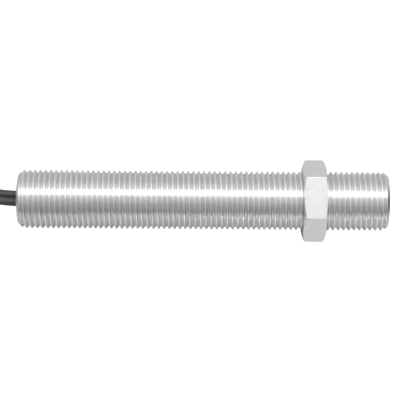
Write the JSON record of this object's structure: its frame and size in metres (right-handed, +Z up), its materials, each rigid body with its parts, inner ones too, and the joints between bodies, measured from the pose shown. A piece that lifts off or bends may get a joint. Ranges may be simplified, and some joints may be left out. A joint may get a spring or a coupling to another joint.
{
  "type": "proximity sensor",
  "caption": "Threaded-barrel magnetic proximity sensor: flat sensing face, jam nut that screws along the barrel, and flying leads tied in a hank.",
  "frame": {"origin": "centre of the sensing face", "axes": "+X along the barrel and out of the sensing face, +Z up from the surface that a flat of the jam nut stands on"},
  "size_m": [0.1885, 0.0222, 0.019],
  "materials": {
    "barrel_metal": "bright turned stainless, cut thread",
    "nut_metal": "bright turned stainless, fine brushing on the flats",
    "pole_iron": "ground soft iron",
    "seal_resin": "cast epoxy, satin",
    "bobbin_nylon": "moulded natural nylon",
    "winding_copper": "enamelled copper wire, gloss",
    "coil_tape": "polyester tape",
    "magnet_alloy": "ground cast magnet alloy",
    "sleeve_plastic": "moulded plastic",
    "pad_felt": "pressed insulating felt",
    "disc_board": "glass fibre board",
    "pin_brass": "tinned brass",
    "solder": "solder",
    "joint_sleeve": "shrunk polyolefin",
    "tinned_copper": "tinned copper strands",
    "lead_insulation": "extruded black insulation, satin",
    "potting_resin": "cast black epoxy",
    "tie_nylon": "moulded natural nylon"
  },
  "bodies": {
    "barrel_assembly": {"barrel": "barrel_metal", "pole_piece": "pole_iron", "pole_seal": "seal_resin", "coil_bobbin": "bobbin_nylon", "coil_winding": "winding_copper", "coil_tape": "coil_tape", "magnet": "magnet_alloy", "magnet_sleeve": "sleeve_plastic", "magnet_pad": "pad_felt", "coil_wire_a": "winding_copper", "coil_wire_b": "winding_copper", "terminal_disc": "disc_board", "terminal_pin_a": "pin_brass", "terminal_pin_b": "pin_brass", "solder_joint_a": "solder", "solder_joint_b": "solder", "joint_sleeve_a": "joint_sleeve", "joint_sleeve_b": "joint_sleeve", "conductor_a": "tinned_copper", "conductor_b": "tinned_copper", "lead_inner_a": "lead_insulation", "lead_inner_b": "lead_insulation", "potting": "potting_resin", "lead_a": "lead_insulation", "lead_b": "lead_insulation", "lead_hank": "lead_insulation", "hank_tie": "tie_nylon", "lead_tail_a": "lead_insulation", "lead_tail_b": "lead_insulation", "tinned_end_a": "tinned_copper", "tinned_end_b": "tinned_copper"},
    "nut_carriage": {"nut_thread": "nut_metal"},
    "jam_nut": {"jam_nut": "nut_metal"}
  },
  "joints": [
    {"name": "nut_travel", "type": "slide", "parent": "barrel_assembly", "child": "nut_carriage", "axis": [1, 0, 0], "range_m": [-0.0734, 0.0142]},
    {"name": "nut_turn", "type": "hinge", "parent": "nut_carriage", "child": "jam_nut", "pos_m": [-0.01957, 0, 0], "axis": [1, 0, 0], "range_deg": [-18720, 3600]}
  ],
  "couplings": [
    {"joint": "nut_travel", "follows": "nut_turn", "m_per_rad": 0.00022459}
  ]
}
